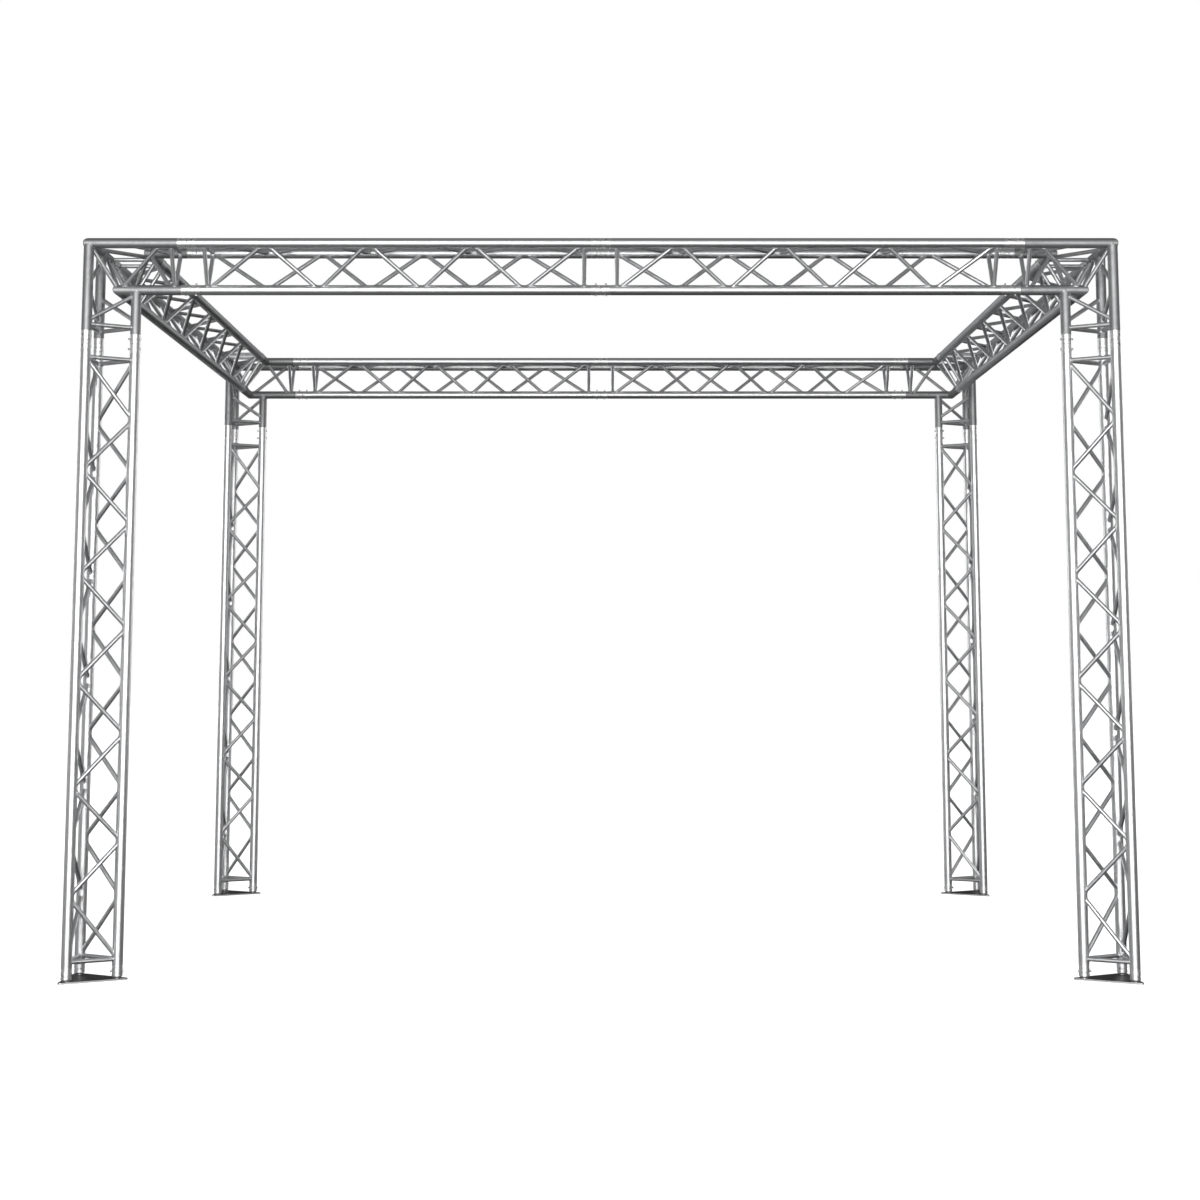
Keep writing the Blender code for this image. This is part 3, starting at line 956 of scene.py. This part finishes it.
def elbow(mitre, facing):
    # an arm along X cut at 45 degrees, with its mirror image along Y
    arm = armTube(cornerShape["arm"] - mitre.x, -cornerShape["mitreSpare"])
    rememberGrain(arm)
    arm.data.transform(axesMatrix(mitre, facing, (1, 0, 0)))
    startEdit(arm)
    cutLoop(mitre, (1, -1, 0), clearInner=True)
    endEdit()
    swap = Matrix(((0, 1, 0, 0), (1, 0, 0, 0), (0, 0, 1, 0), (0, 0, 0, 1)))
    bent = joinPieces("elbow", [arm, copyPiece(arm, swap)])
    makeNormalsOut(bent, merge=True)
    startEdit(bent)
    betweenWalls = (section["chordRadius"] + section["chordBore"]) / 2

    def onMitre(first, second):
        # on the mitre's plane, and on the outside of the tube
        for point in (first, second):
            across = (point.x + point.y - mitre.x - mitre.y) / 2
            fromAxis = math.hypot(across, point.z - mitre.z)
            if abs(point.x - point.y) > mergeDistance or fromAxis < betweenWalls:
                return False
        return True

    selectEdges(bent, onMitre)
    bpy.ops.mesh.bevel(offset=cornerShape["mitreRound"], segments=3, profile=0.5, affect="EDGES")
    beside = Vector((1, -1, 0)).normalized()
    beside = beside * cornerShape["mitreRound"] * cornerShape["besideMitre"]
    for middle in (mitre + beside, mitre - beside):
        cutLoop(middle, (1, -1, 0))
    endEdit()
    smoothRound(bent, 28)
    return bent


def post(top, facing, heightAt):
    # hangs down from top; heightAt gives how far above or below top the tube's edge ends
    tube = armTube(cornerShape["arm"] + top.z, 0)
    matrix = axesMatrix(top, facing, (0, 0, -1))
    turnOnly = matrix.to_3x3()
    radius = section["chordRadius"]

    def endHeight(x, y, saddleRadius):
        place = turnOnly @ Vector((x, y, 0))
        return heightAt(place.x, place.y, saddleRadius)

    def cutToElbow(point):
        if point.z < endTolerance:
            return endHeight(point.x, point.y, radius - section["beadSink"])
        return point.z

    startEdit(tube)
    setHeights(tube, cutToElbow)
    endEdit()
    smoothRound(tube)
    rememberGrain(tube)
    bead = weldRing(
        radius,
        lambda x, y: endHeight(x, y, radius),
        cornerShape["postBeadSteps"],
        cornerShape["postBeadRadius"],
    )
    tube.data.transform(matrix)
    bead.data.transform(matrix)
    return [tube, bead]


def cornerModel():
    # the front left corner, with the outer top chords' mitre on the origin
    step, middle, drop = section["spacing"], section["spacing"] / 2, -triangleHeight
    facing = chordsOf["front"]
    pieces = [
        elbow(Vector((0, 0, 0)), facing["outer"]),
        elbow(Vector((step, step, 0)), facing["inner"]),
        elbow(Vector((middle, middle, drop)), facing["lower"]),
    ]
    legCentre = Vector((triangleHeight / 3, middle, 0))
    posts = {
        "outer": Vector((0, 0, 0)),
        "inner": Vector((triangleHeight, middle, drop)),
        "rear": Vector((0, step, 0)),
    }

    def underMitre(x, y, radius):
        return math.sqrt(max(radius ** 2 - (y if x > y else x) ** 2, 0))

    def underAlongX(x, y, radius):
        return math.sqrt(max(radius ** 2 - y ** 2, 0))

    def underAlongY(x, y, radius):
        return math.sqrt(max(radius ** 2 - x ** 2, 0))

    saddles = {"outer": underMitre, "inner": underAlongX, "rear": underAlongY}
    for name, top in posts.items():
        pieces += post(top, Vector((top.x, top.y, 0)) - legCentre, saddles[name])

    armChords = {"outer": (0, 0), "inner": (step, 0), "lower": (middle, drop)}
    endAt = cornerShape["arm"] - section["endMember"]

    def endTriangle(chords):
        around = [*chords, next(iter(chords))]
        return [((endAt, first), (endAt, second)) for first, second in zip(around, around[1:])]

    onArm = (*endTriangle(armChords), *cornerShape["armBraces"])
    for (fromAt, fromChord), (toAt, toChord) in onArm:
        start = Vector((fromAt, *armChords[fromChord]))
        end = Vector((toAt, *armChords[toChord]))
        pieces.append(braceBetween(start, end, (1, 0, 0)))
        pieces.append(braceBetween(start.yxz, end.yxz, (0, 1, 0)))
    onLeg = (*endTriangle(posts), *cornerShape["legBraces"])
    for (fromAt, fromChord), (toAt, toChord) in onLeg:
        start = Vector((posts[fromChord].x, posts[fromChord].y, -fromAt))
        end = Vector((posts[toChord].x, posts[toChord].y, -toAt))
        pieces.append(braceBetween(start, end, (0, 0, -1)))
    pieces.append(braceBetween((0, 0, 0), (middle, middle, drop), (1, -1, 0)))
    return joinPieces("cornerModel", pieces)


def placeCorners():
    model, radius = cornerModel(), section["chordRadius"]
    for front, signY in fronts.items():
        for side, signX in sides.items():
            name = f"corner_{front}_{side}"
            low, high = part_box(name)
            outerX = low.x + radius if signX < 0 else high.x - radius
            outerY = low.y + radius if signY < 0 else high.y - radius
            mirror = Matrix.Diagonal((-signX, -signY, 1, 1))
            move = Matrix.Translation((outerX, outerY, high.z - radius))
            piece = copyPiece(model, move @ mirror)
            if signX * signY < 0:
                makeNormalsOut(piece)
            finishPiece(piece, name + "_welded", "frame", [name])
    discard(model)


placeCorners()
print("corners placed")


plateShape = {
    "thickness": 0.008,
    "margin": 0.031,
    "cornerRadius": 0.014,
    "neck": 0.018,
    "socket": 0.015,  # height of the leg's end
    "coneHeight": 0.045,
    "coneTop": 0.0165,
    "coneBase": 0.0212,
    "edgeRound": 0.0010,
    "screwRadius": 0.0095,
    "screwSink": 0.0006,
    "screwPlay": 0.0004,
    "shankHole": 0.0056,
    "hexRadius": 0.0035,
    "tapped": 0.0065,
}


def halfCoupler():
    # a neck on the plate, a cone into the chord and a tapped hole down from its top
    thickness, top = plateShape["thickness"], plateShape["socket"] + plateShape["coneHeight"]
    neck, base, tip = plateShape["neck"], plateShape["coneBase"], plateShape["coneTop"]
    tapped = plateShape["tapped"]
    rings = [
        (neck, thickness - 0.001),
        (neck, thickness + 0.0012),
        (neck + 0.0006, thickness + 0.002),
        (base - 0.0004, plateShape["socket"] - 0.0008),
        (base, plateShape["socket"]),
        (tip, top - 0.0015),
        (tip - 0.0014, top),
        (tapped + 0.001, top),
        (tapped, top - 0.001),
        (tapped, top - 0.012),
    ]
    cone = turnRings("halfCoupler", rings, 32)
    cutAway(cone, [pinCutter(plateShape["socket"] + section["pinFromJoint"])])
    smoothRound(cone, 25)
    rememberGrain(cone)
    coat(cone, "turnedAluminium")
    return cone


def plateScrew():
    # a countersunk screw that holds the half coupler from below, just short of the floor
    radius, sink = plateShape["screwRadius"], plateShape["screwSink"]
    rings = [
        (radius - 0.0005, sink),
        (radius, sink + 0.0005),
        (0.0052, sink + 0.0048),
        (0.005, 0.0078),
    ]
    screw = turnRings("screw", rings, 24)
    hexRadius = plateShape["hexRadius"]
    cutAway(screw, [turnRings("hexCutter", [(hexRadius, -0.001), (hexRadius, sink + 0.0028)], 6)])
    smoothRound(screw, 30)
    rememberGrain(screw)
    coat(screw, "platedSteel")
    return screw


def basePlateModel():
    # a rounded triangle with X towards one chord, standing on z = 0
    thickness = plateShape["thickness"]
    deselectAll()
    bpy.ops.mesh.primitive_cylinder_add(
        vertices=3,
        radius=triangleRadius + 2 * plateShape["margin"],
        depth=thickness,
        location=(0, 0, thickness / 2),
        rotation=(0, 0, -math.pi / 2),
    )
    plate = bpy.context.object
    bpy.ops.object.transform_apply(location=True, rotation=True, scale=True)
    startEdit(plate)
    selectEdges(plate, lambda first, second: abs(first.z - second.z) > endTolerance)
    bpy.ops.mesh.bevel(
        offset=plateShape["cornerRadius"] * math.sqrt(3), segments=10, profile=0.5, affect="EDGES"
    )
    selectEdges(plate, lambda first, second: abs(first.z - second.z) < endTolerance)
    bpy.ops.mesh.bevel(offset=plateShape["edgeRound"], segments=2, profile=0.5, affect="EDGES")
    endEdit()
    sink, shank = plateShape["screwRadius"] + plateShape["screwPlay"], plateShape["shankHole"]
    sinkRings = [(sink, -0.001), (sink, 0.0008), (shank, 0.0055), (shank, 0.0095)]
    for place in chordPlaces():
        hole = turnRings("sink", sinkRings, 24)
        hole.data.transform(place)
        cutAway(plate, [hole])
    smoothRound(plate, 20)
    rememberGrain(plate)
    # the plate was rolled along X
    grain = plate.data.attributes["grain"]
    for index, vertex in enumerate(plate.data.vertices):
        grain.data[index].vector = vertex.co.zyx
    coat(plate, "plateEdge")
    # the flat top and bottom faces take the near-black painted shade, the edges the bare aluminium
    plate.data.materials.append(materials["plateTopPaintedShade"])
    for face in plate.data.polygons:
        face.material_index = 1 if abs(face.normal.z) > 0.9 else 0
    pieces = [plate]
    cone, screw = halfCoupler(), plateScrew()
    for place in chordPlaces():
        pieces += [copyPiece(cone, place), copyPiece(screw, place)]
    discard(cone, screw)
    return joinPieces("basePlateModel", pieces)


def placeBasePlates():
    model = basePlateModel()
    for front in fronts:
        for side, signX in sides.items():
            name = f"base_plate_{front}_{side}"
            foot = legTop(front, side)
            foot.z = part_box(name)[0].z
            piece = copyPiece(model, axesMatrix(foot, (-signX, 0, 0), (0, 0, 1)))
            finishPiece(piece, name + "_machined", "frame", [name])
    discard(model)


placeBasePlates()
print("base plates placed")


couplerShape = {
    "halfLength": 0.045,
    "middle": 0.0212,
    "tip": 0.0165,
    "bore": 0.0054,
    "sides": 28,
}


def couplerModel():
    # a double cone on Z with both pin holes along X
    end, tip, bore = couplerShape["halfLength"], couplerShape["tip"], couplerShape["bore"]
    upper = [
        (couplerShape["middle"], 0.0006),
        (tip, end - 0.0012),
        (tip - 0.0012, end),
        (bore + 0.0006, end),
        (bore, end - 0.0008),
    ]
    rings = [(radius, -height) for radius, height in reversed(upper)] + upper
    cone = turnRings("coupler", rings, couplerShape["sides"])
    pinAt = section["pinFromJoint"]
    cutAway(cone, [pinCutter(-pinAt), pinCutter(pinAt)])
    smoothRound(cone, 20)
    rememberGrain(cone)
    coat(cone, "turnedAluminium")
    return cone


def pinModel():
    # thick end up, with a drift hole in the thick end and a clip hole in the thin one
    def radiusAt(height):
        return pinShape["radius"] + pinShape["taper"] * height

    outer, inner, driftHole = pinShape["outer"], -pinShape["inner"], pinShape["driftHole"]
    rings = [
        (radiusAt(inner) - 0.0013, inner),
        (radiusAt(inner) - 0.0004, inner + 0.0004),
        (radiusAt(inner + 0.0012), inner + 0.0012),
        (radiusAt(outer - 0.0010), outer - 0.0010),
        (radiusAt(outer) - 0.0003, outer - 0.0003),
        (radiusAt(outer) - 0.0010, outer),
        (driftHole + 0.0005, outer),
        (driftHole, outer - 0.0005),
        (driftHole, outer - 0.0080),
    ]
    pin = turnRings("pin", withSupport(rings), pinShape["sides"])
    across = pinShape["clipHole"]
    cutter = turnRings("clipCutter", [(across, -0.01), (across, 0.01)], 12)
    cutter.data.transform(axesMatrix((0, 0, pinShape["clipHoleAt"]), (0, 0, 1), (0, 1, 0)))
    cutAway(pin, [cutter])
    smoothRound(pin, 30)
    rememberGrain(pin)
    coat(pin, "platedSteel")
    return pin


def pinMatrix(centre, run, radial, offset):
    axis = centre + Vector(radial) * triangleRadius + Vector(run) * offset
    return axesMatrix(axis, run, radial)


def jointList():
    # name, centre, run along the chords, chord directions, coupler nodes
    joints = []
    for front in fronts:
        centre = beamCentre(f"beam_{front}_left")
        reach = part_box(f"beam_{front}_left")[0].x - gapHalf
        for spot, x in (("left", reach), ("center", 0), ("right", -reach)):
            nodes = [f"coupler_{front}_{spot}_{chord}" for chord in chordsOf[front]]
            place = Vector((x, centre.y, centre.z))
            joints.append((f"{front}_{spot}", place, (1, 0, 0), chordsOf[front], nodes))
    for side in sides:
        low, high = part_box(f"beam_{side}")
        near, far = beamCentre(f"beam_{side}"), beamCentre(f"beam_{side}")
        near.y, far.y = low.y - gapHalf, high.y + gapHalf
        nodes = [f"coupler_{side}_{chord}" for chord in chordsOf[side]]
        joints.append((side, near, (0, 1, 0), chordsOf[side], nodes))
        joints.append((f"{side}_rear", far, (0, 1, 0), chordsOf[side], []))
    for front in fronts:
        for side in sides:
            name, chords = f"leg_{front}_{side}", legChords(front, side)
            nodes = [f"coupler_{name}_{chord}" for chord in chords]
            joints.append((name, legTop(front, side), (0, 0, -1), chords, nodes))
    return joints


def placeCouplersAndPins():
    coupler, pin = couplerModel(), pinModel()
    offset = section["pinFromJoint"]
    for name, centre, run, chords, nodes in jointList():
        pins = []
        for index, (chord, radial) in enumerate(chords.items()):
            axis = centre + Vector(radial) * triangleRadius
            piece = copyPiece(coupler, axesMatrix(axis, radial, run))
            node = nodes[index : index + 1]
            finishPiece(piece, f"coupler_{name}_{chord}_turned", "frame", node)
            for side, sign in sides.items():
                taper = copyPiece(pin, pinMatrix(centre, run, radial, sign * offset))
                if name == "front_center":
                    moving = f"pin_{chord}_{side}"
                    finishPiece(taper, moving + "_taper", moving, [moving])
                else:
                    pins.append(taper)
        if pins:
            finishPiece(joinPieces("pins", pins), f"pins_{name}", "frame")
    for front in fronts:
        for side in sides:
            foot = legTop(front, side)
            foot.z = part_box(f"leg_{front}_{side}")[0].z - gapHalf
            pins = []
            for radial in legChords(front, side).values():
                pins.append(copyPiece(pin, pinMatrix(foot, (0, 0, 1), radial, offset)))
            finishPiece(joinPieces("pins", pins), f"pins_base_{front}_{side}", "frame")
    discard(coupler, pin)


placeCouplersAndPins()
discard(*braceModels.values())
print("couplers and pins placed")
